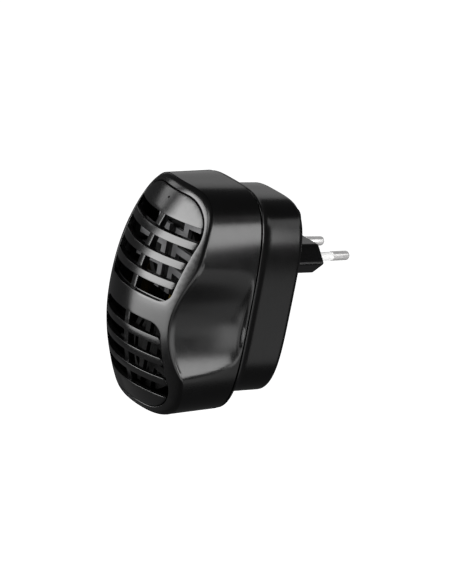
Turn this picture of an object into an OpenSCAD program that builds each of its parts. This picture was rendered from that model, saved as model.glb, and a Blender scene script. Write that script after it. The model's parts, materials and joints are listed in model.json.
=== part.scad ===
// Plug-in ultrasonic pest repeller: a two-part housing with slatted windows on a fixed two-pin plug.
// The origin is the middle of the plug block's socket face. +Y points into the socket and +Z is up.

/* [Housing] */
// Width of the housing at the seam between the shells
body_w = 57.6; // [56:0.2:60]
// Height of the housing at the seam
body_h = 93.8; // [90:0.2:98]
// Depth of the rear shell, from the seam to the wall side
rear_d = 25.2; // [24:0.2:28]
// Depth of the front shell, from the seam to the middle of its face
front_d = 40.1; // [38:0.2:43]
// Wall thickness of both shells
wall = 2; // [1.8:0.1:2.2]
// Width of the step from the front shell in to the rear box
step_in = 4.5; // [4:0.1:5]
// How far the middle of the housing lies below the plug's axis
mid_drop = 16.2; // [14:0.2:18]
// Radius of the front face across its width
face_r_across = 38; // [36:1:42]
// Radius of the front face along its height
face_r_along = 80; // [76:1:90]

/* [Grille] */
// Number of slats in each window
slats = 3; // [2:1:3]
// Distance from one slat to the next
slat_pitch = 8.35; // [7.5:0.05:8.4]
// Height of one slat
slat_h = 3.1; // [2.4:0.1:3.6]
// Gap between the grille and the window's edge
seam_gap = 0.3; // [0.2:0.05:0.4]
// Width of the rib behind the slats
rib_w = 3.2; // [2.4:0.2:4]

/* [Plug] */
// Distance the plug block stands out of the rear shell
block_l = 16.7; // [14:0.1:18]
// Width of the plug block across its corners
block_w = 35.3; // [35:0.1:35.4]
// Width of the plug block's flat edges
block_flat_w = 23; // [20:0.5:26.1]
// Height of the plug block
block_h = 12.6; // [12:0.1:13.7]
// Distance between the pins
pin_gap = 18.6; // [18:0.1:19.2]
// Length of a pin beyond the block
pin_l = 19; // [18.5:0.1:19.5]
// Diameter of a pin's bare end
pin_d = 4; // [3.94:0.02:4.06]
// Length of a pin's insulating sleeve
sleeve_l = 10; // [9.5:0.1:11]
// Diameter of a pin's insulating sleeve
sleeve_d = 3.6; // [3.5:0.05:3.65]

/* [Electronics] */
// Width of the main board
board_w = 38; // [36:1:38]
// Height of the main board
board_h = 58; // [56:1:58]
// Thickness of the main board
board_t = 1.6; // [1:0.2:1.6]
// Diameter of a transducer's horn
horn_d = 30; // [28:1:31]

/* [Hidden] */
$fn = 48;

squareness = 3.8;                       // 2 is an ellipse, larger is squarer
outline_steps = 60;                     // points round an outline
wall_y = -block_l;                      // face that stands against the wall plate
seam_y = wall_y - rear_d;
nose_y = seam_y - front_d;              // foremost point of the face
mid_z = -mid_drop;
half_w = body_w / 2;
half_h = body_h / 2;
face_mid_z = mid_z - 3.5;               // height of the face's foremost point
rim_half_w = half_w - 1.3;
rim_half_h = half_h + 0.3;
rim_mid_z = mid_z - 0.8;
rim_flare = 0.048;                      // how much wider the foot is, for each mm of height
seam_flare = 0.02;
box_flare = 0.012;
rim_round_side = 1;                     // rounding between the face and the sides
rim_round_end = 1.8;                    // the same, at the top and the bottom
scoop_depth = 5.6;                      // finger recess in each side
scoop_z = mid_z - 6;
scoop_r = 45;

bridge_h = 9.3;                         // between the two windows
window_top_z = mid_z + 43;
window_low_z = mid_z + 2.6;
lower_top_z = window_low_z - bridge_h;
lower_low_z = mid_z - 44.6;
first_slot_z = window_top_z - 9.5;      // lower edge of the upper panel
slot_h = slat_pitch - slat_h;
slat_back = 2.75;                       // back of the slats, behind the face
slat_front = 0.3;

box_half_w = half_w - step_in;
box_half_h = half_h - step_in - 0.8;
box_mid_z = mid_z + 0.5;
flange_t = 1.6;
floor_y = wall_y - wall;                // inside of the rear wall
case_screw_x = 14;
case_screw_z = 34.5;
case_boss_l = 12;

board_y = seam_y + 8;                   // wall side of the board
board_front_y = board_y - board_t;
board_screw_x = board_w / 2 - 3.5;
board_screw_z = board_h / 2 - 4;

speaker_z = [window_low_z + 13, lower_top_z - 18];
speaker_y = nose_y + 18.5;              // mouth of the speaker cups
cup_d = horn_d + 3;
cup_l = 9;
bracket_y = speaker_y + 6;
bracket_t = 1.6;
bracket_reach = 21.3;                   // from the middle to the bracket's screws
led_z = mid_z + 39.4;
led_y = face_y(0, led_z) + slat_back;

function mix(a, b, t) = a + (b - a) * t;
function face_y(x, z) = nose_y + x * x / (2 * face_r_across)
    + (z - face_mid_z) * (z - face_mid_z) / (2 * face_r_along);

// One point of a rounded, slightly pear-shaped outline, as [x, z]
function outline_point(a, w, h, mid, flare) =
    let (r = pow(pow(abs(cos(a)), squareness) + pow(abs(sin(a)), squareness), -1 / squareness),
        z = h * r * sin(a))
    [(w - flare * z) * r * cos(a), mid + z];
function outline(w, h, mid, flare) =
    [for (i = [0 : outline_steps - 1]) outline_point(360 * i / outline_steps, w, h, mid, flare)];

// The scoop pulls a side in to this half-width at height z; t is 0 at the seam and 1 at the rim
function scoop_limit(z, t, inset) =
    half_w - inset - scoop_depth * pow(t, 0.35) + pow(z - scoop_z, 2) / (2 * scoop_r);
function soft_min(a, b, k) = let (h = max(k - abs(a - b), 0) / k) min(a, b) - h * h * k / 4;
function scooped(p, t, inset) = t == 0 ? p : let (
        limit = scoop_limit(p[1], t, inset),
        soft = p[1] > scoop_z ? 5 : 0.3)
    [sign(p[0]) * soft_min(abs(p[0]), max(limit, 0), soft), p[1]];

// Outline of the front shell at depth t, moved in by inset
function shell_outline(t, inset) =
    [for (p = outline(mix(half_w, rim_half_w, t) - inset, mix(half_h, rim_half_h, t) - inset,
            mix(mid_z, rim_mid_z, t), mix(seam_flare, rim_flare, t)))
        scooped(p, t, inset)];
// One step of the rounding at the rim: turn is 0 on the side and 90 on the face
function rounded(ring, turn, inset) = [for (p = ring)
    let (d = [p[0], p[1] - rim_mid_z],
        r = mix(rim_round_side, rim_round_end, pow(min(abs(d[1]) / rim_half_h, 1), 4)),
        q = [0, rim_mid_z] + d * (1 - r * (1 - cos(turn)) / norm(d)))
    [q[0], face_y(q[0], q[1]) + inset + r * (1 - sin(turn)), q[1]]];
// A ring on the face, drawn in towards its middle
function scaled(ring, s, inset) = [for (p = ring)
    let (x = p[0] * s, z = rim_mid_z + (p[2] - rim_mid_z) * s) [x, face_y(x, z) + inset, z]];

// Solid of the front shell, moved in by inset all over; base_y is its open end
module shell_solid(inset, base_y) {
    rim = shell_outline(1, inset);
    side_t = [0, 0.04, 0.12, 0.3, 0.6, 0.85];
    turn = [0, 35, 65, 90];
    face_s = [0.85, 0.6, 0.3];
    rings = concat(
        [[for (p = shell_outline(0, inset)) [p[0], base_y, p[1]]]],
        [for (t = side_t) if (t > 0) [for (p = shell_outline(t, inset))
            [p[0], mix(seam_y, face_y(p[0], p[1]) + inset, t), p[1]]]],
        [for (a = turn) rounded(rim, a, inset)],
        [for (s = face_s) scaled(rounded(rim, 90, inset), s, inset)]);
    n = outline_steps;
    m = len(rings);
    centre = n * m;
    points = concat([for (r = rings) for (p = r) p], [[0, face_y(0, rim_mid_z) + inset, rim_mid_z]]);
    faces = concat(
        [[for (i = [0 : n - 1]) i]],
        [for (j = [0 : m - 2]) for (i = [0 : n - 1]) let (k = (i + 1) % n) each [
            [j * n + i, (j + 1) * n + i, (j + 1) * n + k], [j * n + i, (j + 1) * n + k, j * n + k]]],
        [for (i = [0 : n - 1]) [(m - 1) * n + i, centre, (m - 1) * n + (i + 1) % n]]);
    polyhedron(points, faces, convexity = 6);
}

// Slab that follows the face, from depth y0 to depth y1 behind it
module face_slab(y0, y1, w = 52, low = -66, high = 34) {
    nx = 10;
    nz = 14;
    cols = nx + 1;
    function at(i, j) = [w * (i / nx - 0.5), mix(low, high, j / nz)];
    function sheet(d) = [for (j = [0 : nz]) for (i = [0 : nx])
        let (p = at(i, j)) [p[0], face_y(p[0], p[1]) + d, p[1]]];
    function quad(a, b, c, d) = [[a, b, c], [a, c, d]];
    half = cols * (nz + 1);
    edge = concat([for (i = [0 : nx - 1]) i], [for (j = [0 : nz - 1]) nx + j * cols],
        [for (i = [nx : -1 : 1]) nz * cols + i], [for (j = [nz : -1 : 1]) j * cols]);
    faces = concat(
        [for (j = [0 : nz - 1]) for (i = [0 : nx - 1]) let (a = j * cols + i)
            each quad(a, a + cols, a + cols + 1, a + 1)],
        [for (j = [0 : nz - 1]) for (i = [0 : nx - 1]) let (a = half + j * cols + i)
            each quad(a, a + 1, a + cols + 1, a + cols)],
        [for (k = [0 : len(edge) - 1]) let (a = edge[k], b = edge[(k + 1) % len(edge)])
            each quad(a, b, half + b, half + a)]);
    polyhedron(concat(sheet(y0), sheet(y1)), faces, convexity = 4);
}

// Extrudes an outline drawn in X and Z along +Y, from y0
module along_y(y0, l) {
    translate([0, y0, 0]) rotate([90, 0, 0]) mirror([0, 0, 1]) linear_extrude(l) children();
}
module y_cylinder(d, y0, l, x = 0, z = 0) {
    translate([x, y0, z]) rotate([-90, 0, 0]) cylinder(d = d, h = l);
}

// Corner arc of a window, centred inside the corner by its radius
function corner(x, z, r, a0, grow) = [for (i = [0 : 6]) let (a = a0 - 15 * i)
    [x + (r + grow) * cos(a), z + (r + grow) * sin(a)]];
function mirrored(half) = concat(half,
    [for (i = [len(half) - 1 : -1 : 0]) [-half[i][0], half[i][1]]]);
// Upper window: broad shoulders at the top and tight corners at the bridge
module upper_window(grow = 0) {
    polygon(mirrored(concat(corner(7.8, window_top_z - 15, 15, 90, grow),
        corner(15.9, window_low_z + 5, 5, 0, grow))));
}
module lower_window(grow = 0) {
    polygon(mirrored(concat(corner(14.7, lower_top_z - 5, 5, 90, grow),
        corner(9.8, lower_low_z + 12.8, 12.8, 0, grow))));
}
module slot_bands() {
    for (i = [0 : slats]) {
        translate([-30, first_slot_z - i * slat_pitch - (i == slats ? 3 : 0) - slot_h])
            square([60, slot_h + (i == slats ? 3 : 0)]);
        translate([-30, lower_top_z - i * slat_pitch - slot_h])
            square([60, slot_h + (i == 0 ? 3 : 0)]);
    }
}
module slots() {
    intersection() {
        slot_bands();
        union() {
            upper_window();
            lower_window();
        }
    }
}

module case_screw_places() {
    for (x = [-1, 1], z = [-1, 1])
        translate([x * case_screw_x, 0, box_mid_z + z * case_screw_z]) children();
}
module board_screw_places() {
    for (x = [-1, 1], z = [-1, 1])
        translate([x * board_screw_x, 0, mid_z + z * board_screw_z]) children();
}
module bracket_screw_places(z) {
    for (x = [-1, 1]) translate([x * bracket_reach, 0, z]) children();
}

module front_housing() {
    post_y = bracket_y + bracket_t;
    post_l = 9.5;
    color([0.035, 0.035, 0.038]) {
        difference() {
            shell_solid(0, seam_y);
            shell_solid(wall, seam_y + 1);
            along_y(nose_y - 5, 34) upper_window();
            along_y(nose_y - 5, 34) lower_window();
        }
        case_screw_places() difference() {
            y_cylinder(6.4, seam_y - case_boss_l, case_boss_l);
            y_cylinder(3, seam_y - case_boss_l + 1.5, case_boss_l);
        }
        // A rib joins each screw boss to the top or bottom wall
        for (x = [-1, 1], z = [-1, 1]) {
            ends = [box_mid_z + z * (case_screw_z + 1.7), mid_z + z * (half_h - 2.15)];
            translate([x * case_screw_x - 0.8, seam_y - case_boss_l, min(ends)])
                cube([1.6, case_boss_l - 2.5, abs(ends[1] - ends[0])]);
        }
        for (z = speaker_z) {
            bracket_screw_places(z) difference() {
                y_cylinder(5, post_y, post_l);
                y_cylinder(2.2, post_y - 1, 9);
            }
            for (x = [-1, 1])
                translate([x * (bracket_reach + 3.7) - 1.6, post_y, z - 0.8]) cube([3.2, post_l, 1.6]);
        }
    }
}

module grille() {
    color([0.04, 0.04, 0.043]) {
        difference() {
            union() {
                intersection() {
                    face_slab(slat_front, slat_back);
                    along_y(nose_y - 5, 34) {
                        upper_window(-seam_gap);
                        lower_window(-seam_gap);
                    }
                }
                intersection() {
                    face_slab(wall, slat_back);
                    along_y(nose_y - 5, 34) {
                        upper_window(0.8);
                        lower_window(0.8);
                    }
                }
            }
            along_y(nose_y - 6, 36) slots();
            y_cylinder(1.1, nose_y, 20, 0, led_z);
        }
        intersection() {
            face_slab(wall, slat_back + 2.4);
            along_y(nose_y - 5, 34) translate([-rib_w / 2, lower_low_z + 6])
                square([rib_w, window_top_z - lower_low_z - 13]);
        }
        difference() {
            y_cylinder(5.6, led_y - 0.6, 5, 0, led_z);
            y_cylinder(3.2, led_y - 1, 7, 0, led_z);
        }
    }
}

module box_outline(inset) {
    polygon(outline(box_half_w - inset, box_half_h - inset, box_mid_z, box_flare));
}
module seam_outline(inset) {
    polygon(outline(half_w - inset, half_h - inset, mid_z, seam_flare));
}
// Six-sided section of the plug block
module plug_section(grow = 0) {
    w = block_w / 2 + grow * 1.4;
    f = block_flat_w / 2 + grow * 0.4;
    h = block_h / 2 + grow;
    polygon([[w, 0], [f, h], [-f, h], [-w, 0], [-f, -h], [f, -h]]);
}

module rear_housing() {
    color([0.035, 0.035, 0.038]) difference() {
        union() {
            along_y(seam_y, flange_t) seam_outline(0.15);
            difference() {
                along_y(seam_y - 2, 2.5) seam_outline(wall + 0.2);
                along_y(seam_y - 3, 4) seam_outline(wall + 1.4);
                // The lip stops where the scoops draw the front shell's sides in
                translate([-half_w, seam_y - 3, scoop_z - 18]) cube([2 * half_w, 3, 36]);
            }
            along_y(seam_y, rear_d) box_outline(0);
        }
        difference() {
            along_y(seam_y - 1, rear_d - wall + 1) box_outline(wall);
            case_screw_places() y_cylinder(8.4, seam_y - 2, rear_d);
            board_screw_places() y_cylinder(6, board_y, rear_d);
        }
        case_screw_places() {
            y_cylinder(9, seam_y - 3, 3);
            y_cylinder(3.2, seam_y - 3, 10);
            y_cylinder(6.4, seam_y + 3, rear_d);
        }
        board_screw_places() y_cylinder(2.2, board_y - 1, 9);
        along_y(floor_y - 1, wall + 2) plug_section(0.02);
    }
}

module plug_block() {
    color([0.035, 0.035, 0.038]) difference() {
        union() {
            along_y(floor_y - 3.4, block_l + wall + 3.4) plug_section();
            along_y(floor_y - 1.6, 1.6) plug_section(1.5);
        }
        for (side = [-1, 1]) pin_place(side) {
            y_cylinder(3, -40, 60);
            y_cylinder(sleeve_d, -3, 20);
            y_cylinder(sleeve_d + 0.7, -0.4, 10);
        }
    }
}

// The pins lean together a little, as on any flat two-pin plug
module pin_place(side) {
    lean = asin(0.55 / pin_l);
    translate([side * pin_gap / 2, 0, 0]) rotate([0, 0, side * lean]) children();
}
module pin(side) {
    color([0.75, 0.75, 0.74]) pin_place(side) rotate([-90, 0, 0]) rotate_extrude()
        polygon(concat([[0, -25], [1.5, -25], [1.5, sleeve_l], [pin_d / 2, sleeve_l]],
            [for (a = [0 : 15 : 90]) [pin_d / 2 - 1.2 + 1.2 * cos(a), pin_l - 1.2 + 1.2 * sin(a)]],
            [[0, pin_l]]));
}
module pin_sleeve(side) {
    color([0.93, 0.93, 0.92]) pin_place(side) difference() {
        y_cylinder(sleeve_d, -3, sleeve_l + 3);
        y_cylinder(3, -4, sleeve_l + 6);
    }
}
module pin_contact(side) {
    color([0.72, 0.55, 0.2]) pin_place(side) difference() {
        union() {
            translate([-3, -24, -3]) cube([6, 0.8, 6]);
            translate([-1.6, -24, -9]) cube([3.2, 0.8, 7]);
        }
        y_cylinder(3, -26, 5);
    }
}
module pin_left() { pin(-1); }
module pin_right() { pin(1); }
module pin_sleeve_left() { pin_sleeve(-1); }
module pin_sleeve_right() { pin_sleeve(1); }
module pin_contact_left() { pin_contact(-1); }
module pin_contact_right() { pin_contact(1); }

module main_board() {
    color([0.55, 0.42, 0.2]) difference() {
        translate([-board_w / 2, board_front_y, mid_z - board_h / 2]) cube([board_w, board_t, board_h]);
        board_screw_places() y_cylinder(2.6, board_y - 5, 10);
    }
}
// Pan-head screw whose head sits at y0, with its shank along the given way (1 or -1) of Y
module screw(shank_d, shank_l, head_d, head_l, way) {
    rotate([way > 0 ? -90 : 90, 0, 0]) {
        cylinder(d = shank_d, h = shank_l);
        difference() {
            translate([0, 0, -head_l]) cylinder(d = head_d, h = head_l);
            translate([-head_d / 3, -0.4, -head_l - 0.1]) cube([head_d / 1.5, 0.8, 1]);
            translate([-0.4, -head_d / 3, -head_l - 0.1]) cube([0.8, head_d / 1.5, 1]);
        }
    }
}
module board_screws() {
    color([0.6, 0.6, 0.6]) board_screw_places() translate([0, board_front_y, 0]) screw(2.1, 8, 4.4, 1.6, 1);
}
module housing_screws() {
    color([0.6, 0.6, 0.6]) case_screw_places() translate([0, seam_y + 3, 0]) screw(2.9, 12, 5.4, 2, -1);
}
module bracket_screws() {
    color([0.6, 0.6, 0.6]) for (z = speaker_z)
        bracket_screw_places(z) translate([0, bracket_y, 0]) screw(2.1, 8, 3.8, 1.4, 1);
}

// Round wire through a short list of points, with a slightly larger ball at each bend
module wire(points, d) {
    for (i = [0 : len(points) - 2]) {
        v = points[i + 1] - points[i];
        translate(points[i]) rotate([0, acos(v[2] / norm(v)), atan2(v[1], v[0])])
            cylinder(d = d, h = norm(v), $fn = 16);
        if (i > 0) translate(points[i]) sphere(d = 1.2 * d, $fn = 16);
    }
}
module mains_wire(side, tint) {
    x = side * pin_gap / 2;
    color(tint) wire([[x, -24.8, -7.5], [x, -29, -8], [side * 6, -31, -14], [side * 6, board_y, -17]], 1.6);
}
module live_wire() { mains_wire(-1, [0.35, 0.18, 0.08]); }
module neutral_wire() { mains_wire(1, [0.1, 0.2, 0.55]); }
module speaker_wires(z, tint) {
    color(tint) for (x = [-1, 1])
        wire([[x * 3, speaker_y + cup_l + 1, z], [x * 3, speaker_y + cup_l + 6, z],
            [x * 2.2, board_front_y - 5, z + 4], [x * 2.2, board_front_y, z + 4]], 1.1);
}

// Stands a part on the front of the board, x and z from the board's middle
module on_board(x, z) { translate([x, board_front_y, mid_z + z]) rotate([90, 0, 0]) children(); }
module fuse() {
    color([0.75, 0.8, 0.78]) on_board(4, -24.5) {
        translate([-5, 0, 2.4]) rotate([0, 90, 0]) cylinder(d = 3.6, h = 10);
        for (x = [-6, 6]) wire([[x, 0, 0], [x, 0, 2.4], [0.8 * x, 0, 2.4]], 0.7);
    }
}
module surge_varistor() {
    color([0.15, 0.3, 0.6]) on_board(-9, -22) {
        translate([0, 2, 7]) rotate([90, 0, 0]) cylinder(d = 10, h = 4);
        for (x = [-2.5, 2.5]) translate([x, 0, 0]) cylinder(d = 0.8, h = 4, $fn = 16);
    }
}
module suppression_capacitor() {
    color([0.75, 0.6, 0.1]) on_board(-13.2, -6) translate([-4, -9, 0]) cube([8, 18, 13]);
}
module bridge_rectifier() {
    color([0.08, 0.08, 0.08]) on_board(-2, -14) {
        translate([0, 0, 2]) cylinder(d = 8.6, h = 5);
        for (a = [45 : 90 : 315]) rotate(a) translate([2.6, 0, 0]) cylinder(d = 0.8, h = 2, $fn = 16);
    }
}
module smoothing_capacitor() {
    color([0.1, 0.12, 0.3]) on_board(12, -9) {
        cylinder(d = 10, h = 15);
        translate([0, 0, 15]) cylinder(d = 8.6, h = 0.5);
    }
}
module transformer_core() {
    color([0.14, 0.14, 0.15]) on_board(0, 8) difference() {
        translate([-10, -3, 1]) cube([20, 6, 16]);
        for (x = [-7.6, 3]) translate([x, -4, 3.5]) cube([4.6, 8, 11]);
    }
}
module transformer_winding() {
    color([0.85, 0.7, 0.15]) on_board(0, 8) difference() {
        translate([-7.4, -6, 3.7]) cube([14.8, 12, 10.6]);
        translate([-3.05, -3.05, 3]) cube([6.1, 6.1, 12]);
    }
}
module driver_transistors() {
    color([0.09, 0.09, 0.09]) for (z = [13, 20]) on_board(-14.5, z - 1) {
        translate([0, 0, 3]) intersection() {
            cylinder(d = 4.8, h = 4.8);
            translate([-1.2, -3, 0]) cube([5, 6, 5]);
        }
        for (y = [-1.3, 0, 1.3]) translate([0, y, 0]) cylinder(d = 0.5, h = 3, $fn = 16);
    }
}
module tuning_coils() {
    color([0.2, 0.12, 0.06]) for (z = [7, 17]) on_board(14.8, z) {
        cylinder(d = 7, h = 1.2);
        translate([0, 0, 1.2]) cylinder(d = 5.6, h = 5.6);
        translate([0, 0, 6.8]) cylinder(d = 7, h = 1.2);
    }
}
module controller_chip() {
    color([0.07, 0.07, 0.08]) on_board(0, 21) {
        translate([-4.8, -3.2, 0.6]) cube([9.6, 6.4, 3.4]);
        for (x = [-3.81 : 2.54 : 3.81], y = [-3.8, 3.8]) translate([x - 0.3, y - 0.25, 0]) cube([0.6, 0.5, 2.4]);
        for (x = [-3.81 : 2.54 : 3.81]) translate([x - 0.3, -4, 1.9]) cube([0.6, 8, 0.5]);
    }
}
module resistors() {
    spots = [[-8, 21.5], [-8, 25], [8.4, 23], [3, -19], [4, -2.5], [-5, -2.5]];
    color([0.75, 0.65, 0.45]) for (p = spots) on_board(p[0], p[1]) {
        translate([-1.6, 0, 1.4]) rotate([0, 90, 0]) cylinder(d = 1.8, h = 3.2);
        for (x = [-2.4, 2.4]) wire([[x, 0, 0], [x, 0, 1.4], [0.6 * x, 0, 1.4]], 0.5);
    }
}
module ceramic_capacitors() {
    spots = [[5, -14], [-3, -7.5], [8.4, 26.3]];
    color([0.75, 0.4, 0.12]) for (p = spots) on_board(p[0], p[1]) {
        translate([0, 0.9, 3.6]) rotate([90, 0, 0]) cylinder(d = 4, h = 1.8);
        for (x = [-1.2, 1.2]) translate([x, 0, 0]) cylinder(d = 0.5, h = 2.4, $fn = 16);
    }
}
module indicator_led() {
    color([0.8, 0.15, 0.1]) translate([0, led_y + 0.4, led_z]) rotate([-90, 0, 0]) {
        translate([0, 0, 1.5]) sphere(d = 3);
        translate([0, 0, 1.5]) cylinder(d = 3, h = 2.6);
        translate([0, 0, 4.1]) cylinder(d = 3.1, h = 0.9);
    }
}
module led_wires() {
    color([0.7, 0.1, 0.1]) for (x = [-0.75, 0.75])
        wire([[x, led_y + 5.4, led_z], [x, led_y + 16, led_z - 2], [x * 3, board_front_y - 4, mid_z + 26.5],
            [x * 3, board_front_y, mid_z + 26.5]], 1);
}

module speaker_cup(z) {
    color([0.05, 0.05, 0.05]) translate([0, speaker_y, z]) rotate([-90, 0, 0]) difference() {
        union() {
            cylinder(d = cup_d, h = 1.6);
            cylinder(d = cup_d - 3, h = cup_l);
        }
        translate([0, 0, -1]) cylinder(d = cup_d - 5, h = cup_l);
        translate([0, 0, 1]) cylinder(d = 8, h = cup_l);
    }
}
module speaker_cone(z) {
    r = cup_d / 2 - 2.8;
    color([0.1, 0.1, 0.1]) translate([0, speaker_y + 1.2, z]) rotate([-90, 0, 0]) rotate_extrude()
        polygon([[0, 5.2], [3, 5.2], [r - 1.5, 0], [r, 0], [r, 0.4], [r - 1.2, 0.4], [3.2, 5.6], [0, 5.6]]);
}
module piezo_disc(z) {
    color([0.72, 0.58, 0.25]) translate([0, speaker_y + 6.85, z]) rotate([-90, 0, 0]) cylinder(d = 20, h = 0.5);
}
// One side of the frame in front of a transducer, seen from the front
module frame_half() {
    translate([2.2, -15]) square([3, 26.8]);
    translate([2.2, 9.4]) square([8.4, 2.4]);
    translate([7.4, 9.4]) square([3.2, 7.8]);
    polygon([[9, 17.2], [18.5, 18], [18.5, 15], [9, 14]]);
    polygon([[4, 5], [bracket_reach, 4.4], [bracket_reach, 1.8], [4, 2.2]]);
    polygon([[4, -3.6], [bracket_reach, -4.8], [bracket_reach, -7.2], [4, -6.2]]);
}
module speaker_bracket(z) {
    ring_d = cup_d - 2.9;
    frame_y = speaker_y - 2.2;
    color([0.4, 0.4, 0.41]) difference() {
        union() {
            y_cylinder(ring_d + 4, bracket_y, bracket_t, 0, z);
            translate([-bracket_reach, bracket_y, z - 2.4]) cube([2 * bracket_reach, bracket_t, 4.8]);
            bracket_screw_places(z) y_cylinder(4.8, bracket_y, bracket_t);
            for (x = [-1, 1]) scale([x, 1, 1]) {
                along_y(frame_y, 1.8) translate([0, z]) frame_half();
                translate([bracket_reach - 2.4, frame_y, z - 7.2])
                    cube([2.4, bracket_y + bracket_t - frame_y, 5.3]);
                translate([bracket_reach - 2.4, bracket_y, z - 3]) cube([2.4, bracket_t, 2]);
            }
        }
        y_cylinder(ring_d, bracket_y - 1, 5, 0, z);
        bracket_screw_places(z) y_cylinder(2.4, bracket_y - 1, 5);
    }
}
module speaker_cup_upper() { speaker_cup(speaker_z[0]); }
module speaker_cup_lower() { speaker_cup(speaker_z[1]); }
module speaker_cone_upper() { speaker_cone(speaker_z[0]); }
module speaker_cone_lower() { speaker_cone(speaker_z[1]); }
module piezo_disc_upper() { piezo_disc(speaker_z[0]); }
module piezo_disc_lower() { piezo_disc(speaker_z[1]); }
module speaker_bracket_upper() { speaker_bracket(speaker_z[0]); }
module speaker_bracket_lower() { speaker_bracket(speaker_z[1]); }
module speaker_wires_upper() { speaker_wires(speaker_z[0], [0.75, 0.72, 0.1]); }
module speaker_wires_lower() { speaker_wires(speaker_z[1], [0.2, 0.5, 0.2]); }

front_housing();
grille();
rear_housing();
plug_block();
pin_left();
pin_right();
pin_sleeve_left();
pin_sleeve_right();
pin_contact_left();
pin_contact_right();
main_board();
board_screws();
housing_screws();
live_wire();
neutral_wire();
fuse();
surge_varistor();
suppression_capacitor();
bridge_rectifier();
smoothing_capacitor();
transformer_core();
transformer_winding();
driver_transistors();
tuning_coils();
controller_chip();
resistors();
ceramic_capacitors();
indicator_led();
led_wires();
speaker_cup_upper();
speaker_cup_lower();
speaker_bracket_upper();
speaker_bracket_lower();
speaker_cone_upper();
speaker_cone_lower();
piezo_disc_upper();
piezo_disc_lower();
bracket_screws();
speaker_wires_upper();
speaker_wires_lower();
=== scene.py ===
import json
import math

import bmesh
import bpy
import numpy as np
from mathutils import Matrix, Vector
from mathutils.geometry import delaunay_2d_cdt


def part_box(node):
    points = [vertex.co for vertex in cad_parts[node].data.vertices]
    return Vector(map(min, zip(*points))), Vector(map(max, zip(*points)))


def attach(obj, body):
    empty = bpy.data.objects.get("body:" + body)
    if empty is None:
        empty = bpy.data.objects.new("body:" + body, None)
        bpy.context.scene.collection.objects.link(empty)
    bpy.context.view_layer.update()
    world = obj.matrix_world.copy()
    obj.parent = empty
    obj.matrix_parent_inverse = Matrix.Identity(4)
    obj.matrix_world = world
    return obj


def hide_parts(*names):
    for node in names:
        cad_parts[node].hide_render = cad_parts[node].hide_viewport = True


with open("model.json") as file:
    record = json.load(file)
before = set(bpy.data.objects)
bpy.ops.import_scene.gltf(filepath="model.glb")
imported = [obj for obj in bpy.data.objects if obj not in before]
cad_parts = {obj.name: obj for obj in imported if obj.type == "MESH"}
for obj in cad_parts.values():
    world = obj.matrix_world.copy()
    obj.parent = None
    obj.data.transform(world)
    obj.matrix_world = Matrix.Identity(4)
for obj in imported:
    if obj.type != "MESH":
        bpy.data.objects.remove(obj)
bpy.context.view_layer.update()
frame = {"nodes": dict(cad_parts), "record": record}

# ---------------------------------------------------------------- sizes, in millimetres

MM = 0.001


def node_box(node):
    """Lowest and highest corner of a CAD node, in millimetres."""
    return [np.array(corner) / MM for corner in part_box(node)]


SHELL_LOW, SHELL_HIGH = node_box("front_housing")
NOSE_Y = SHELL_LOW[1]                      # foremost point of the face
SEAM_Y = SHELL_HIGH[1]
WALL_Y = node_box("rear_housing")[1][1]    # face that stands against the wall plate
PIN_L = node_box("pin_left")[1][1]
BOARD_Y = node_box("main_board")[1][1]
SPEAKER_Z = [sum(node_box("speaker_cup_" + w)[k][2] for k in (0, 1)) / 2 for w in ("upper", "lower")]

SKIN = 0.06                                # the visual skin keeps this far inside the CAD outline
HALF_W, HALF_H, MID_Z = 28.8, 46.9, -16.2  # outline at the seam
SQUARENESS = 3.8
WALL = 2.0
RIM_W, RIM_H, RIM_Z = HALF_W - 1.3, HALF_H + 0.3, MID_Z - 0.8
SEAM_FLARE, RIM_FLARE, BOX_FLARE = 0.02, 0.048, 0.012
FACE_R_ACROSS, FACE_R_ALONG, FACE_Z = 38.0, 80.0, MID_Z - 3.5
RIM_ROUND_SIDE, RIM_ROUND_END = 1.0, 1.8
RIM_SWELL, SWELL_H = 0.55, 25              # extra half-width of the rim above the scoops, and its rise
SCOOP_DEPTH, SCOOP_Z, SCOOP_R = 5.6, MID_Z - 6, 45.0
SCOOP_START, SCOOP_POWER = 0.035, 0.33     # share of the depth where a scoop starts, and how fast it deepens
SCOOP_SOFT_LOW, SCOOP_SOFT_TOP = 0.5, 4.5  # blend of a scoop's edge, below and above
STEP_IN = 4.5
COVE = 6.5                                 # depth of the hollow curve behind the flange
BOX_W, BOX_H, BOX_Z = HALF_W - STEP_IN, HALF_H - STEP_IN - 0.8, MID_Z + 0.5

WINDOW_TOP, WINDOW_LOW = MID_Z + 43, MID_Z + 2.6
LOWER_TOP, LOWER_LOW = WINDOW_LOW - 9.3, MID_Z - 44.6
UPPER_HALVES, LOWER_HALVES = (22.8, 20.9), (19.7, 22.6)  # half-widths at a window's top and bottom
UPPER_BROAD_R, LOWER_BROAD_R, TIGHT_R = 15.0, 12.8, 5.0
SLATS, SLAT_PITCH, SLAT_H = 3, 8.35, 3.1
SLOT_H = SLAT_PITCH - SLAT_H
FIRST_SLOT = WINDOW_TOP - 9.5
SEAM_GAP = 0.3
SLAT_BACK = 2.7
GRILLE_FRONT = WALL + 0.1                  # depth of the front of the grille's backing plate and rib
RIB_W, RIB_BACK = 3.2, SLAT_BACK + 2.4
LED_Z = MID_Z + 39.4

BLOCK_W, BLOCK_FLAT_W, BLOCK_H = 35.3, 23.0, 12.6
PIN_GAP, PIN_D, SLEEVE_L, SLEEVE_D = 18.6, 4.0, 10.0, 3.6
PIN_LEAN = math.asin(0.55 / 19)

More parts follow.
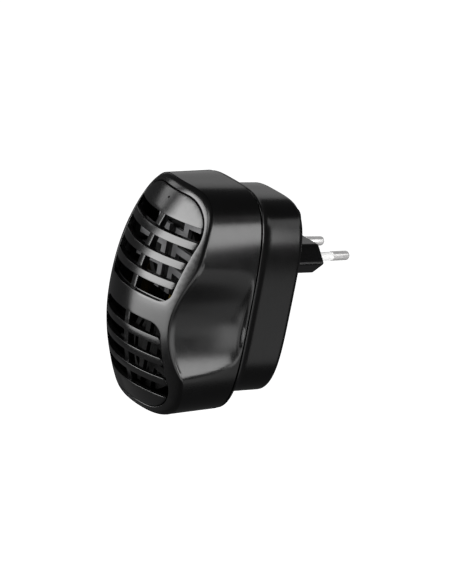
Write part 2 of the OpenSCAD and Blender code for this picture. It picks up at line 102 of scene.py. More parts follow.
CASE_SCREW_X, CASE_SCREW_Z = 14.0, 34.5
CASE_SCREWS = [(x * CASE_SCREW_X, BOX_Z + z * CASE_SCREW_Z) for x in (-1, 1) for z in (-1, 1)]
BOSS_R, BOSS_L, BOSS_RIB = 3.2, 12.0, 1.6
BRACKET_REACH = 21.3                       # from the middle to the screws of a speaker's bracket
POST_R, POST_Y, POST_L = 2.5, NOSE_Y + 26.1, 9.5
BOARD_POST_X, BOARD_POST_Z, BOARD_POST_R = 15.5, 25.0, 3.0

AROUND = 288                               # points round an outline
TURN_STEPS, TOOL_STEPS = 64, 48            # points round a turned piece, and round a boolean cylinder
SHARP = math.radians(32)                   # faces that meet at more than this keep a sharp edge
ROW, CLEAR = 0.87, 0.55                    # shares of a fill's spacing: between rows, and clear of edges
WELD, SLIVER = 1e-6, 1e-4                  # a fill's tolerance, and the least area of its faces


def face_y(x, z):
    """Depth of the front face, which curves both ways."""
    return NOSE_Y + x * x / (2 * FACE_R_ACROSS) + (z - FACE_Z) ** 2 / (2 * FACE_R_ALONG)


# ---------------------------------------------------------------- mesh tools


def mix(a, b, t):
    return a + (b - a) * t


def smoothstep(low, high, v):
    t = np.clip((v - low) / (high - low), 0, 1)
    return t * t * (3 - 2 * t)


def quarter(count):
    """Angles from 0 to 90 degrees."""
    return np.linspace(0, math.pi / 2, count)


def signed_area(loop):
    """Area of a closed loop, positive when it runs anticlockwise."""
    x, z = np.array(loop).T
    return (np.dot(x, np.roll(z, -1)) - np.dot(z, np.roll(x, -1))) / 2


def shade(mesh):
    mesh.shade_smooth()
    mesh.set_sharp_from_angle(angle=SHARP)


class Solid:
    """Collects rings of points and the faces between them, in millimetres."""

    def __init__(self):
        self.points = []
        self.faces = []

    def ring(self, xyz):
        start = len(self.points)
        self.points.extend(map(tuple, xyz))
        return np.arange(start, len(self.points))

    def bridge(self, a, b):
        n = len(a)
        for i in range(n):
            k = (i + 1) % n
            self.faces.append((a[i], b[i], b[k], a[k]))

    def rings(self, loops):
        made = [self.ring(loop) for loop in loops]
        for a, b in zip(made, made[1:]):
            self.bridge(a, b)
        return made

    def fill(self, boundary, holes, depth, spacing=1.5):
        """Fills the region inside the boundary ring and outside the holes, at y = depth(x, z)."""
        loops = [boundary] + list(holes)
        flat = [np.array([self.points[i] for i in loop])[:, [0, 2]] for loop in loops]
        low, high = flat[0].min(0), flat[0].max(0)
        grid = np.array([(x, z) for k, z in enumerate(np.arange(low[1], high[1], spacing * ROW))
                         for x in np.arange(low[0] + (k % 2) * spacing / 2, high[0], spacing)])
        grid = grid[filled(grid, flat)]
        edges = np.concatenate(flat)
        near = np.array([np.min(np.sum((edges - p) ** 2, 1)) for p in grid])
        grid = grid[near > (CLEAR * spacing) ** 2]

        segments, at = [], 0
        for loop in flat:
            n = len(loop)
            segments += [(at + i, at + (i + 1) % n) for i in range(n)]
            at += n
        given = [Vector(p) for p in np.concatenate([edges, grid])]
        points, _, faces, origins, _, _ = delaunay_2d_cdt(given, segments, [], 0, WELD)

        known = list(np.concatenate(loops))
        known += list(self.ring([(x, depth(x, z), z) for x, z in grid]))
        index = [known[origin[0]] for origin in origins]
        corners = [[points[i] for i in face] for face in faces]
        keep = filled(np.array([np.mean(face, axis=0) for face in corners]), flat)
        keep &= np.array([abs(signed_area(face)) > SLIVER for face in corners])
        self.faces += [tuple(index[i] for i in face) for face, wanted in zip(faces, keep) if wanted]

    def build(self, name, material):
        mesh = bpy.data.meshes.new(name)
        faces = [tuple(int(i) for i in face) for face in self.faces]
        mesh.from_pydata([Vector(p) * MM for p in self.points], [], faces)
        work = bmesh.new()
        work.from_mesh(mesh)
        bmesh.ops.recalc_face_normals(work, faces=work.faces)
        work.to_mesh(mesh)
        work.free()
        mesh.materials.append(material)
        shade(mesh)
        made = bpy.data.objects.new(name, mesh)
        bpy.context.scene.collection.objects.link(made)
        return made


def inside(points, loop):
    """Which points lie inside a closed loop, by the even-odd rule."""
    x, z = points[:, 0][:, None], points[:, 1][:, None]
    a, b = loop, np.roll(loop, -1, axis=0)
    crosses = (a[:, 1] > z) != (b[:, 1] > z)
    rise = np.where(b[:, 1] == a[:, 1], 1e-9, b[:, 1] - a[:, 1])
    at = (b[:, 0] - a[:, 0]) * (z - a[:, 1]) / rise + a[:, 0]
    return (np.sum(crosses & (x < at), axis=1) % 2).astype(bool)


def filled(points, loops):
    """Which points lie inside the first loop and outside the others."""
    keep = inside(points, loops[0])
    for hole in loops[1:]:
        keep &= ~inside(points, hole)
    return keep


def resample(loop, spacing):
    """The same closed loop with evenly spaced points."""
    closed = np.vstack([loop, loop[:1]])
    along = np.concatenate([[0], np.cumsum(np.hypot(*np.diff(closed, axis=0).T))])
    count = max(12, int(round(along[-1] / spacing)))
    at = np.linspace(0, along[-1], count, endpoint=False)
    return np.stack([np.interp(at, along, closed[:, k]) for k in (0, 1)], 1)


def soften(loop, times):
    """Rounds the corners of a finely sampled loop."""
    for _ in range(times):
        loop = 0.25 * np.roll(loop, 1, 0) + 0.5 * loop + 0.25 * np.roll(loop, -1, 0)
    return loop


def grow(loop, by):
    """Moves a loop's points out along its normals. The loop runs anticlockwise."""
    along = np.roll(loop, -1, 0) - np.roll(loop, 1, 0)
    normal = np.stack([along[:, 1], -along[:, 0]], 1)
    return loop + by * normal / np.hypot(*normal.T)[:, None]


def anticlockwise(loop):
    return loop if signed_area(loop) > 0 else loop[::-1]


def band(loop, low, high):
    """The part of a convex loop between two heights."""
    for sign, level in ((1, low), (-1, -high)):
        kept = []
        for p, q in zip(loop, np.roll(loop, -1, 0)):
            a, b = sign * p[1] - level, sign * q[1] - level
            if a >= 0:
                kept.append(p)
            if (a >= 0) != (b >= 0):
                kept.append(p + (q - p) * a / (a - b))
        loop = np.array(kept)
    return loop


def on_face(loop, depth):
    return [(x, face_y(x, z) + depth, z) for x, z in loop]


def at_y(loop, y):
    return [(x, y, z) for x, z in loop]


def fillet(radius, steps):
    """(distance in from the edge, depth) along a rounded edge, from the flat face to the side."""
    return [(radius * (1 - math.sin(a)), radius * (1 - math.cos(a))) for a in quarter(steps + 1)]


def plate(loop, front, back, edge, back_edge=0.2, holes=(), steps=4):
    """A closed slab that follows the face between two depths, with a rounded front edge."""
    solid = Solid()
    loop = anticlockwise(loop)
    profile = [(-i, front + d) for i, d in fillet(edge, steps)] + [(0, back - back_edge), (-back_edge, back)]
    outer = solid.rings([on_face(grow(loop, g), d) for g, d in profile])
    tops, bottoms = [], []
    for hole in holes:
        hole = anticlockwise(hole)
        rings = solid.rings([on_face(grow(hole, -g), d) for g, d in profile])
        tops.append(rings[0])
        bottoms.append(rings[-1])
    solid.fill(outer[0], tops, lambda x, z: face_y(x, z) + front)
    solid.fill(outer[-1], bottoms, lambda x, z: face_y(x, z) + back)
    return solid


def lathe(name, profile, material):
    """A turned piece: profile is (radius, y) from one end of the axis to the other."""
    solid = Solid()
    turn = np.arange(TURN_STEPS) * 2 * math.pi / TURN_STEPS
    rings = solid.rings([[(r * math.cos(a), y, r * math.sin(a)) for a in turn] for r, y in profile if r > 0])
    for ring, (r, y) in ((rings[0], profile[0]), (rings[-1], profile[-1])):
        if r == 0:
            centre = solid.ring([(0, y, 0)])[0]
            solid.faces += [(ring[i], ring[(i + 1) % TURN_STEPS], centre) for i in range(TURN_STEPS)]
    if profile[0][0] > 0:
        solid.bridge(rings[-1], rings[0])
    return solid.build(name, material)


def cylinder_y(x, z, radius, y0, y1, flare=0.0):
    """A plain closed cylinder along Y for boolean work, with an optional flare at its y1 end."""
    solid = Solid()
    turn = np.arange(TOOL_STEPS) * 2 * math.pi / TOOL_STEPS
    ends = [(radius, y0), (radius, y1)]
    if flare:
        ends = [(radius, y0), (radius, y1 - flare), (radius + flare, y1)]
    rings = solid.rings([[(x + r * math.cos(a), y, z + r * math.sin(a)) for a in turn] for r, y in ends])
    solid.faces += [tuple(rings[0]), tuple(rings[-1])]
    return solid


def block(low, high):
    """A plain closed box for boolean work."""
    solid = Solid()
    a, b = np.array(low, float), np.array(high, float)
    loop = [(a[0], a[2]), (b[0], a[2]), (b[0], b[2]), (a[0], b[2])]
    rings = solid.rings([at_y(loop, y) for y in (a[1], b[1])])
    solid.faces += [tuple(rings[0]), tuple(rings[-1])]
    return solid


def combine(target, tools, operation):
    """Joins solids to a piece, or cuts them from it, and keeps its shading."""
    for k, tool in enumerate(tools):
        cutter = tool.build(f"tool_{k}", target.data.materials[0])
        step = target.modifiers.new("combine", "BOOLEAN")
        step.operation, step.object, step.solver = operation, cutter, "MANIFOLD"
        with bpy.context.temp_override(object=target, active_object=target, selected_objects=[target]):
            bpy.ops.object.modifier_apply(modifier=step.name)
        bpy.data.objects.remove(cutter)
    shade(target.data)


# ---------------------------------------------------------------- outlines


def outline(w, h, mid, flare):
    a = np.arange(AROUND) * 2 * math.pi / AROUND
    c, s = np.cos(a), np.sin(a)
    r = (np.abs(c) ** SQUARENESS + np.abs(s) ** SQUARENESS) ** (-1 / SQUARENESS)
    z = h * r * s
    return np.stack([(w - flare * z) * r * c, mid + z], 1)


def seam_outline(inset):
    return outline(HALF_W - inset, HALF_H - inset, MID_Z, SEAM_FLARE)


def box_outline(inset):
    return outline(BOX_W - inset, BOX_H - inset, BOX_Z, BOX_FLARE)


def shell_outline(t, inset):
    """Outline of the front shell at depth t, 0 at the seam and 1 at the rim, with the scoop in each side."""
    ring = outline(mix(HALF_W, RIM_W, t) - inset, mix(HALF_H, RIM_H, t) - inset,
                   mix(MID_Z, RIM_Z, t), mix(SEAM_FLARE, RIM_FLARE, t))
    z = ring[:, 1]
    wide = np.abs(ring[:, 0])
    wide = wide + RIM_SWELL * t * smoothstep(SCOOP_Z, SCOOP_Z + SWELL_H, z) * (wide / RIM_W) ** 2
    depth = SCOOP_DEPTH * (max(t - SCOOP_START, 0) / (1 - SCOOP_START)) ** SCOOP_POWER
    limit = HALF_W - inset - depth + (z - SCOOP_Z) ** 2 / (2 * SCOOP_R)
    soft = mix(SCOOP_SOFT_LOW, SCOOP_SOFT_TOP, smoothstep(SCOOP_Z - 8, SCOOP_Z + 12, z))
    h = np.maximum(soft - np.abs(wide - limit), 0) / soft
    blended = np.minimum(wide, limit) - h * h * soft / 4
    # the scoop fades out just before the seam
    scooped = mix(wide, np.minimum(blended, wide), smoothstep(0, 0.05, t))
    return np.stack([np.sign(ring[:, 0]) * scooped, z], 1)


def corner(x, z, radius, start):
    """A quarter circle round (x, z), clockwise from the start angle in degrees."""
    turn = np.radians(start - np.linspace(0, 90, 13))
    return np.stack([x + radius * np.cos(turn), z + radius * np.sin(turn)], 1)


def mirrored(half):
    """A closed loop from its right half, top to bottom."""
    return np.vstack([half, half[::-1] * [-1, 1]])


def window(upper):
    """Outline of a window: broad corners away from the bridge and tight ones at it."""
    if upper:
        (top_x, low_x), top, low = UPPER_HALVES, WINDOW_TOP, WINDOW_LOW
        top_r, low_r = UPPER_BROAD_R, TIGHT_R
    else:
        (top_x, low_x), top, low = LOWER_HALVES, LOWER_TOP, LOWER_LOW
        top_r, low_r = TIGHT_R, LOWER_BROAD_R
    half = [corner(top_x - top_r, top - top_r, top_r, 90), corner(low_x - low_r, low + low_r, low_r, 0)]
    return anticlockwise(resample(mirrored(np.vstack(half)), 0.6))


def slot_levels(upper):
    """(low, high) of each slot, and of each slat between them."""
    top = FIRST_SLOT if upper else LOWER_TOP
    slots = [(top - i * SLAT_PITCH - SLOT_H, top - i * SLAT_PITCH) for i in range(SLATS + 1)]
    bars = [(slots[i + 1][1], slots[i][0]) for i in range(SLATS)]
    return slots, bars


# ---------------------------------------------------------------- materials

NOISE_LOW, NOISE_HIGH = 0.3, 0.7           # the range that a noise mostly stays in


def new_material(name):
    material = bpy.data.materials.new(name)
    material.use_nodes = True
    tree = material.node_tree
    tree.nodes.clear()
    shader = tree.nodes.new("ShaderNodeBsdfPrincipled")
    out = tree.nodes.new("ShaderNodeOutputMaterial")
    tree.links.new(shader.outputs[0], out.inputs[0])
    return material, tree, shader


def noise(tree, scale, detail=3.0):
    place = tree.nodes.new("ShaderNodeTexCoord")
    made = tree.nodes.new("ShaderNodeTexNoise")
    made.inputs["Scale"].default_value = scale
    made.inputs["Detail"].default_value = detail
    tree.links.new(place.outputs["Object"], made.inputs["Vector"])
    return made.outputs["Fac"]


def spread(tree, value, low, high):
    """Maps a noise onto a range of values."""
    made = tree.nodes.new("ShaderNodeMapRange")
    made.inputs["From Min"].default_value = NOISE_LOW
    made.inputs["From Max"].default_value = NOISE_HIGH
    made.inputs["To Min"].default_value = low
    made.inputs["To Max"].default_value = high
    tree.links.new(value, made.inputs["Value"])
    return made.outputs["Result"]


def tinted(tree, value, dark, light):
    """Maps a noise onto a range of colours."""
    made = tree.nodes.new("ShaderNodeValToRGB")
    made.color_ramp.elements[0].position = NOISE_LOW
    made.color_ramp.elements[1].position = NOISE_HIGH
    made.color_ramp.elements[0].color = (*dark, 1)
    made.color_ramp.elements[1].color = (*light, 1)
    tree.links.new(value, made.inputs[0])
    return made.outputs[0]


def bumped(tree, shader, value, strength, distance):
    made = tree.nodes.new("ShaderNodeBump")
    made.inputs["Strength"].default_value = strength
    made.inputs["Distance"].default_value = distance
    tree.links.new(value, made.inputs["Height"])
    tree.links.new(made.outputs[0], shader.inputs["Normal"])


def moulded(name, dark, light, rough, grain=2600.0, grain_depth=0.000012, metallic=0.0):
    """A surface with slight cloudiness in colour and gloss, and a fine grain."""
    material, tree, shader = new_material(name)
    tree.links.new(tinted(tree, noise(tree, 90.0, 4.0), dark, light), shader.inputs["Base Color"])
    tree.links.new(spread(tree, noise(tree, 240.0, 5.0), *rough), shader.inputs["Roughness"])
    shader.inputs["Metallic"].default_value = metallic
    bumped(tree, shader, noise(tree, grain, 2.0), 0.5, grain_depth)
    return material


BLACK = moulded("black_plastic", (0.0010, 0.0010, 0.0010), (0.0015, 0.0015, 0.0016), (0.19, 0.22),
                2200.0, 0.000003)
GRILLE_BLACK = moulded("grille_plastic", (0.0012, 0.0012, 0.0012), (0.0018, 0.0018, 0.0019), (0.20, 0.235),
                       2200.0, 0.000003)
NICKEL = moulded("nickel_plate", (0.86, 0.85, 0.84), (0.93, 0.92, 0.91), (0.20, 0.28), 1800.0, 0.000002,
                 metallic=0.65)
WHITE = moulded("white_nylon", (0.80, 0.80, 0.79), (0.86, 0.86, 0.85), (0.38, 0.46))
BRASS = moulded("brass", (0.55, 0.38, 0.13), (0.66, 0.47, 0.19), (0.22, 0.34), 1500.0, 0.000003, 1.0)
STEEL = moulded("zinc_steel", (0.45, 0.45, 0.46), (0.58, 0.58, 0.58), (0.25, 0.38), 1500.0, 0.000004, 1.0)
LAMINATE = moulded("laminate", (0.010, 0.040, 0.014), (0.016, 0.060, 0.020), (0.30, 0.42))
FERRITE = moulded("ferrite", (0.020, 0.020, 0.021), (0.035, 0.035, 0.036), (0.55, 0.70), 900.0, 0.00003)
TAPE = moulded("winding_tape", (0.42, 0.30, 0.05), (0.55, 0.40, 0.09), (0.30, 0.42))
CERAMIC = moulded("fuse_ceramic", (0.62, 0.60, 0.54), (0.72, 0.70, 0.64), (0.40, 0.55))
VARISTOR = moulded("varistor_coat", (0.02, 0.07, 0.25), (0.03, 0.10, 0.33), (0.30, 0.40))
YELLOW_BOX = moulded("capacitor_case", (0.10, 0.065, 0.008), (0.14, 0.09, 0.012), (0.30, 0.40))
COMPONENT = moulded("moulded_component", (0.012, 0.012, 0.013), (0.020, 0.020, 0.021), (0.45, 0.60),
                    1600.0, 0.00002)
CAN_SLEEVE = moulded("capacitor_sleeve", (0.015, 0.015, 0.05), (0.022, 0.022, 0.07), (0.25, 0.35))
RESISTOR = moulded("resistor_body", (0.50, 0.38, 0.22), (0.60, 0.47, 0.30), (0.40, 0.52))
ORANGE = moulded("dipped_ceramic", (0.52, 0.20, 0.04), (0.64, 0.27, 0.06), (0.35, 0.45))
LED_RED = moulded("tinted_epoxy", (0.45, 0.03, 0.025), (0.55, 0.05, 0.04), (0.12, 0.20))
CUP_BLACK = moulded("cup_plastic", (0.0006, 0.0006, 0.0006), (0.0010, 0.0010, 0.0010), (0.70, 0.80))
BRACKET_GREY = moulded("bracket_plastic", (0.070, 0.070, 0.072), (0.100, 0.100, 0.102), (0.50, 0.62),
                       1200.0, 0.00002)
FILM = moulded("cone_film", (0.0006, 0.0006, 0.0006), (0.0010, 0.0010, 0.0010), (0.70, 0.80))
# a little light of their own stands in for white surroundings that the dark housing mustn't reflect
for lifted, glow in ((WHITE, 0.35), (NICKEL, 0.12)):
    lifted.node_tree.nodes["Principled BSDF"].inputs["Emission Color"].default_value = (1, 1, 1, 1)
    lifted.node_tree.nodes["Principled BSDF"].inputs["Emission Strength"].default_value = glow
for matte in (CUP_BLACK, FILM, BRACKET_GREY):
    matte.node_tree.nodes["Principled BSDF"].inputs["Specular IOR Level"].default_value = 0.15
WIRES = {name: moulded("wire_" + name, dark, light, (0.35, 0.48)) for name, dark, light in (
    ("brown", (0.09, 0.035, 0.012), (0.13, 0.05, 0.02)), ("blue", (0.01, 0.05, 0.30), (0.02, 0.08, 0.38)),
    ("red", (0.38, 0.015, 0.012), (0.48, 0.025, 0.02)), ("yellow", (0.60, 0.45, 0.03), (0.70, 0.54, 0.05)),
    ("green", (0.015, 0.18, 0.04), (0.025, 0.25, 0.06)))}
SLOT_MATERIALS = {
    "contact_brass": BRASS, "board_laminate": LAMINATE, "screw_steel": STEEL, "fuse_ceramic": CERAMIC,
    "varistor_blue": VARISTOR, "capacitor_yellow": YELLOW_BOX, "component_black": COMPONENT,
    "capacitor_sleeve": CAN_SLEEVE, "ferrite": FERRITE, "winding_tape": TAPE, "resistor_body": RESISTOR,
    "ceramic_orange": ORANGE, "led_red": LED_RED, "cup_black": CUP_BLACK, "bracket_grey": BRACKET_GREY,
    "cone_film": FILM, "housing_black": BLACK, "grille_black": GRILLE_BLACK, "pin_nickel": NICKEL,
    "sleeve_white": WHITE, **{"wire_" + name: material for name, material in WIRES.items()}}

# ---------------------------------------------------------------- housing


def front_skin():
    """The front shell's outside, wall and inside, with its two window openings."""
    solid = Solid()
    # closer steps near the seam, where the scoops deepen fast
    sides = np.concatenate([np.linspace(0, 0.16, 13), np.linspace(0.2, 1, 21)])[1:-1]

    def side_ring(t, inset):
        return [(x, mix(SEAM_Y, face_y(x, z) + inset, t), z) for x, z in shell_outline(t, inset)]

    def shrunk(ring, by):
        arm = ring - [0, RIM_Z]
        return [0, RIM_Z] + arm * (1 - by / np.hypot(*arm.T))[:, None]

    def rounded(ring, radii, a):
        """A step of the rim's rounding, a = 0 on the side and 90 degrees on the face."""
        loop = shrunk(ring, radii * (1 - math.cos(a)))
        return [(x, face_y(x, z) + SKIN + r * (1 - math.sin(a)), z) for (x, z), r in zip(loop, radii)]

    lip = 0.35
    outer = [at_y(shell_outline(0, SKIN + inset), SEAM_Y - back) for inset, back in fillet(lip, 4)]
    outer += [side_ring(t, SKIN) for t in sides]
    rim = shell_outline(1, SKIN)
    end = np.minimum(np.abs(rim[:, 1] - RIM_Z) / RIM_H, 1) ** 4
    radii = mix(RIM_ROUND_SIDE, RIM_ROUND_END, end)
    outer += [rounded(rim, radii, a) for a in quarter(9)]
    outer_rings = solid.rings(outer)

    # the wall thins where a window comes close to the rim
    windows = np.vstack([window(True), window(False)])
    room = np.array([np.min(np.hypot(*(windows - p).T)) for p in rim])
    inner = [at_y(shell_outline(0, WALL), SEAM_Y)]
    inner += [side_ring(t, WALL) for t in sides]
    inner.append(on_face(shrunk(shell_outline(1, 0), np.minimum(WALL, room - 0.5)), WALL))
    inner_rings = solid.rings(inner)
    solid.bridge(outer_rings[0], inner_rings[0])

    edge, back_edge = 0.35, 0.25
    profile = [(i, SKIN + d) for i, d in fillet(edge, 6)] + [(0, WALL - back_edge), (back_edge, WALL)]
    fronts, backs = [], []
    for upper in (True, False):
        rings = solid.rings([on_face(grow(window(upper), g), d) for g, d in profile])
        fronts.append(rings[0])
        backs.append(rings[-1])
    solid.fill(outer_rings[-1], fronts, lambda x, z: face_y(x, z) + SKIN, 1.3)
    solid.fill(inner_rings[-1], backs, lambda x, z: face_y(x, z) + WALL, 2.0)
    return solid


def front_shell():
    shell = front_skin().build("front_shell", BLACK)
    screw_r, bracket_screw_r = 1.5, 1.1
    added, cut = [], []
    for x, z in CASE_SCREWS:
        end = np.sign(z - BOX_Z)
        added.append(cylinder_y(x, z, BOSS_R, SEAM_Y - BOSS_L, SEAM_Y - 0.1))
        # a rib joins each boss to the top or bottom wall
        low, high = sorted((z + end * (screw_r + 0.2), MID_Z + end * (HALF_H - 1.7)))
        added.append(block((x - BOSS_RIB / 2, SEAM_Y - BOSS_L + 0.1, low),
                           (x + BOSS_RIB / 2, SEAM_Y - 2.5, high)))
        cut.append(cylinder_y(x, z, screw_r, SEAM_Y - BOSS_L + 1.5, SEAM_Y + 1))
    for side in (-1, 1):
        for z in SPEAKER_Z:
            x = side * BRACKET_REACH
            added.append(cylinder_y(x, z, POST_R, POST_Y, POST_Y + POST_L))
            # a rib joins each post to the side wall
            near, far = sorted((x + side * 2.1, x + side * 5))
            added.append(block((near, POST_Y + 0.1, z - 0.8), (far, POST_Y + POST_L - 0.1, z + 0.8)))
            cut.append(cylinder_y(x, z, bracket_screw_r, POST_Y - 1, POST_Y + POST_L - 1.5))
    combine(shell, added, "UNION")
    combine(shell, cut, "DIFFERENCE")
    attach(shell, "root")
    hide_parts("front_housing")


def grille():
    recess, edge = 0.1, 0.26
    parts = []
    for upper in (True, False):
        opening = window(upper)
        slots, bars = slot_levels(upper)
        panel = (FIRST_SLOT, WINDOW_TOP + 5) if upper else (LOWER_LOW - 5, slots[-1][0])
        for low, high in bars + [panel]:
            loop = soften(resample(band(grow(opening, -SEAM_GAP), low, high), 0.2), 16)
            parts.append(plate(resample(anticlockwise(loop), 0.35), recess, SLAT_BACK, edge))
        # a backing plate behind the slats joins them, with openings a little larger than the slots
        larger = 0.25
        holes = [resample(band(opening, low - larger, high + larger), 0.6) for low, high in slots]
        parts.append(plate(grow(opening, 0.8), GRILLE_FRONT, SLAT_BACK - 0.1, 0.1, 0.1, holes, 2))
    half, low, high = RIB_W / 2, LOWER_LOW + 6, WINDOW_TOP - 7
    rib = soften(resample(np.array([(-half, low), (half, low), (half, high), (-half, high)]), 0.2), 12)
    parts.append(plate(resample(rib, 0.35), GRILLE_FRONT, RIB_BACK, 0.3, 0.15))
    made = parts[0].build("grille_moulding", GRILLE_BLACK)
    combine(made, parts[1:], "UNION")

    # the seat of the indicator light behind its pinhole
    seat_r, light_r, pinhole_r = 2.8, 1.6, 0.5
    panel_y = face_y(0, LED_Z)
    seat = cylinder_y(0, LED_Z, seat_r, panel_y + SLAT_BACK - 0.4, panel_y + SLAT_BACK + 4.4)
    combine(made, [seat], "UNION")
    combine(made, [cylinder_y(0, LED_Z, light_r, panel_y + 1.5, panel_y + 9),
                   cylinder_y(0, LED_Z, pinhole_r, panel_y - 3, panel_y + 4)], "DIFFERENCE")
    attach(made, "root")
    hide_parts("grille")


def hexagon(w, flat_w, h):
    """The flat six-sided outline of a plug block, with a corner at each side."""
    half_w, half_f, half_h = w / 2, flat_w / 2, h / 2
    return np.array([(half_w, 0), (half_f, half_h), (-half_f, half_h), (-half_w, 0), (-half_f, -half_h),
                     (half_f, -half_h)])


def rear_shell():
    solid = Solid()
    flange, edge, groove, back_r = 1.6, 0.22, 0.6, 2.6
    outer = 0.25
    floor_of_groove = outer + 1.3
    step = SEAM_Y + flange
    loops = [at_y(seam_outline(WALL + 1.4), SEAM_Y + 0.1), at_y(seam_outline(floor_of_groove), SEAM_Y + 0.1),
             at_y(seam_outline(floor_of_groove), SEAM_Y + groove)]
    loops += [at_y(seam_outline(outer + i), SEAM_Y + groove + d) for i, d in fillet(edge, 4)]
    loops += [at_y(seam_outline(outer + i), step - d) for i, d in fillet(edge, 4)[::-1]]
    # a hollow curve leads from the flange in to the box
    near, far = seam_outline(outer + edge + 0.1), box_outline(SKIN)
    loops += [at_y(mix(near, far, math.sin(a)), step + COVE * (1 - math.cos(a))) for a in quarter(15)]
    loops += [at_y(box_outline(SKIN), y) for y in np.linspace(step + COVE + 1, WALL_Y - back_r - 0.5, 8)]
    loops += [at_y(box_outline(SKIN + i), WALL_Y - d) for i, d in fillet(back_r, 8)[::-1]]
    outside = solid.rings(loops)
    floor_y = WALL_Y - WALL
    within = solid.rings([at_y(box_outline(WALL), SEAM_Y + 0.1), at_y(box_outline(WALL), floor_y - 1),
                          at_y(box_outline(WALL + 1), floor_y)])
    solid.bridge(outside[0], within[0])
    solid.fill(outside[-1], [], lambda x, z: WALL_Y, 4)
    solid.fill(within[-1], [], lambda x, z: floor_y, 4)
    shell = solid.build("rear_shell", BLACK)

    column_r, head_r, shank_r = 4.2, 3.2, 1.6
    added = [cylinder_y(x, z, column_r, SEAM_Y + 0.2, WALL_Y - 0.7) for x, z in CASE_SCREWS]
    added += [cylinder_y(x * BOARD_POST_X, MID_Z + z * BOARD_POST_Z, BOARD_POST_R, BOARD_Y, WALL_Y - 1)
              for x in (-1, 1) for z in (-1, 1)]
    combine(shell, added, "UNION")
    cut = [cylinder_y(x, z, head_r, SEAM_Y + 3, WALL_Y + 1, flare=1.4) for x, z in CASE_SCREWS]
    cut += [cylinder_y(x, z, shank_r, SEAM_Y - 1, SEAM_Y + 4) for x, z in CASE_SCREWS]
    socket = Solid()
    loop = anticlockwise(hexagon(BLOCK_W + 0.3, BLOCK_FLAT_W + 0.1, BLOCK_H + 0.2))
    ends = socket.rings([at_y(loop, y) for y in (floor_y - 1, WALL_Y + 1)])
    socket.faces += [tuple(end) for end in ends]
    combine(shell, cut + [socket], "DIFFERENCE")
    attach(shell, "root")
    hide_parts("rear_housing")


def plug_block():
    solid = Solid()
    loop = anticlockwise(resample(soften(resample(hexagon(BLOCK_W, BLOCK_FLAT_W, BLOCK_H), 0.2), 20), 0.4))
    edge = 0.5
    inner_y, socket_y = WALL_Y - WALL - 3, 0.0
    loops = [at_y(loop, inner_y)]
    loops += [at_y(loop, y) for y in np.linspace(WALL_Y - WALL, socket_y - edge - 0.5, 6)]
    loops += [at_y(grow(loop, -i), socket_y - d) for i, d in fillet(edge, 5)[::-1]]
    rings = solid.rings(loops)
    solid.fill(rings[0], [], lambda x, z: inner_y, 3)
    solid.fill(rings[-1], [], lambda x, z: socket_y, 2)
    made = solid.build("plug_block_moulding", BLACK)
    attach(made, "root")
    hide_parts("plug_block")


def plug_pins():
    pin_r, sleeve_r, core_r, bore_r = PIN_D / 2, SLEEVE_D / 2, 1.5, 1.52
    tip_r, end, root = 1.2, PIN_L - SKIN, -2.5
    bare = [(0, SLEEVE_L - 0.4), (core_r, SLEEVE_L - 0.4), (core_r, SLEEVE_L), (pin_r - 0.08, SLEEVE_L),
            (pin_r, SLEEVE_L + 0.1), (pin_r, 14)]
    bare += [(pin_r - i, end - d) for i, d in fillet(tip_r, 9)[::-1]] + [(0, end)]
    sleeve = [(bore_r, root), (sleeve_r, root), (sleeve_r, SLEEVE_L - 0.15), (sleeve_r - 0.12, SLEEVE_L),
              (bore_r, SLEEVE_L)]
    for side, word in ((-1, "left"), (1, "right")):
        for name, profile, material, node, slot in (
                ("pin_end_", bare, NICKEL, "pin_", "pin_nickel"),
                ("sleeve_", sleeve, WHITE, "pin_sleeve_", "sleeve_white")):
            made = lathe(name + word, profile, material)
            made.data.transform(Matrix.Translation((side * PIN_GAP / 2 * MM, 0, 0))
                                @ Matrix.Rotation(side * PIN_LEAN, 4, "Z"))
            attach(made, "root")
            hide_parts(node + word)


for part in frame["record"]["subparts"]:
    for slot in frame["nodes"][part["node"]].material_slots:
        slot.material = SLOT_MATERIALS[part["material_slot"]]
# painted shade: the lower speaker bracket takes the black cup material in place of its grey, as dark as the
# shade behind the lower window
for slot in frame["nodes"]["speaker_bracket_lower"].material_slots:
    slot.material = CUP_BLACK

front_shell()
grille()
rear_shell()
plug_block()
plug_pins()

# ---------------------------------------------------------------- studio, in metres

STUDIO_CENTRE = Vector((0, -0.05, -0.016))
FLOOR_HALF, FLOOR_Z = 30.0, -0.9


def toward(azimuth, elevation):
    """Direction at an azimuth from the front, positive to the right, and an elevation, in degrees."""
    a, e = math.radians(azimuth), math.radians(elevation)
    return math.sin(a) * math.cos(e), -math.cos(a) * math.cos(e), math.sin(e)


def softbox(name, azimuth, elevation, half_wide, half_high, radiance):
    """A light one metre away that spans so many degrees each way and looks that bright."""
    wide, high = (2 * math.tan(math.radians(half)) for half in (half_wide, half_high))
    light = bpy.data.lights.new(name, "AREA")
    light.shape, light.size, light.size_y = "RECTANGLE", wide, high
    light.energy = radiance * math.pi * wide * high
    made = bpy.data.objects.new(name, light)
    bpy.context.scene.collection.objects.link(made)
    away = Vector(toward(azimuth, elevation))
    made.location = STUDIO_CENTRE + away
    made.rotation_mode = "QUATERNION"
    made.rotation_quaternion = (-away).to_track_quat("-Z", "Y")


softbox("front_outer", -14, 3, 27, 32, 4.2)
softbox("front_inner", -13, 11, 20, 24, 6.4)
softbox("left_edge", -60, 22, 8, 8, 2.6)
softbox("back_left", -128, 16, 20, 14, 0.42)
softbox("right_card", 113, 15, 14, 11, 6.5)
softbox("front_right_high", 32, 40, 11, 9, 4.0)
softbox("right_top", 140, 31, 12, 7, 1.2)
softbox("right_glow", 94, -11, 18, 10, 2.4)
softbox("right_front_glow", 56, -13, 18, 8, 1.4)
softbox("low_right", 124, -22, 14, 10, 0.6)
softbox("low_front", -45, -52, 35, 12, 0.1)

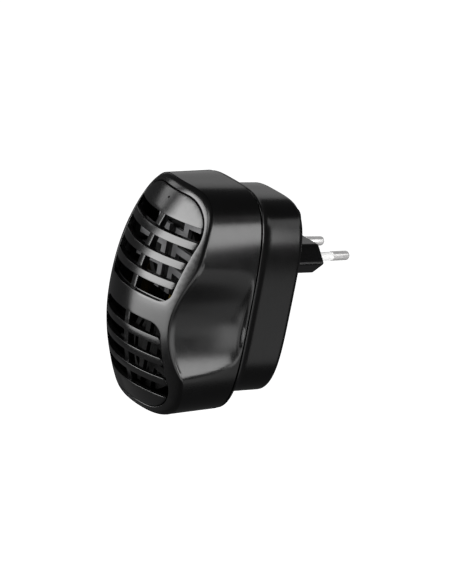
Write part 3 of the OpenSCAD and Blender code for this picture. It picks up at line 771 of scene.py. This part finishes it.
# The camera sees a white floor and backdrop. Reflections see the softboxes and a dim backdrop, no floor.
floor_mesh = bpy.data.meshes.new("floor")
floor_corners = [(x * FLOOR_HALF, y * FLOOR_HALF, FLOOR_Z) for x, y in ((-1, -1), (1, -1), (1, 1), (-1, 1))]
floor_mesh.from_pydata(floor_corners, [], [(0, 1, 2, 3)])
floor_material, floor_tree, floor_shader = new_material("pale_floor")
floor_tree.links.new(tinted(floor_tree, noise(floor_tree, 0.4), (0.93, 0.93, 0.93), (0.96, 0.96, 0.96)),
                     floor_shader.inputs["Base Color"])
floor_shader.inputs["Roughness"].default_value = 0.9
floor_shader.inputs["Emission Color"].default_value = (1, 1, 1, 1)
floor_shader.inputs["Emission Strength"].default_value = 1.0
floor = bpy.data.objects.new("floor", floor_mesh)
floor_mesh.materials.append(floor_material)
bpy.context.scene.collection.objects.link(floor)
floor.visible_glossy = False
floor.visible_diffuse = False

world = bpy.data.worlds.new("studio")
bpy.context.scene.world = world
world.use_nodes = True
nodes, links = world.node_tree.nodes, world.node_tree.links
nodes.clear()
seen, lit = nodes.new("ShaderNodeBackground"), nodes.new("ShaderNodeBackground")
seen.inputs[0].default_value = (1, 1, 1, 1)
lit.inputs[0].default_value = (0.07, 0.07, 0.071, 1)
choose, path = nodes.new("ShaderNodeMixShader"), nodes.new("ShaderNodeLightPath")
sky = nodes.new("ShaderNodeOutputWorld")
links.new(path.outputs["Is Camera Ray"], choose.inputs[0])
links.new(lit.outputs[0], choose.inputs[1])
links.new(seen.outputs[0], choose.inputs[2])
links.new(choose.outputs[0], sky.inputs[0])

# The camera looks from the right of the slatted face, a little above it and rolled.
azimuth, elevation, roll = 51.79, 18.11, math.radians(11.38)
aim = Vector((0, -16.7, -9.7))             # millimetres, as are the three shifts
shift_right, shift_up, distance = -14.92, -8.21, 851.75
right = Vector(toward(azimuth + 90, 0))
back = Vector(toward(azimuth, elevation))
up = back.cross(right)
rolled_right = right * math.cos(roll) + up * math.sin(roll)
rolled_up = up * math.cos(roll) - right * math.sin(roll)
camera_data = bpy.data.cameras.new("camera")
camera_data.sensor_width = 36
camera_data.lens = 128.11
camera_data.clip_start, camera_data.clip_end = 0.01, 100
camera = bpy.data.objects.new("camera", camera_data)
bpy.context.scene.collection.objects.link(camera)
place = aim + shift_right * rolled_right + shift_up * rolled_up + distance * back
turn = Matrix((rolled_right, rolled_up, back)).transposed().to_4x4()
camera.matrix_world = Matrix.Translation(place * MM) @ turn
bpy.context.scene.camera = camera
bpy.context.scene.view_settings.view_transform = "Standard"
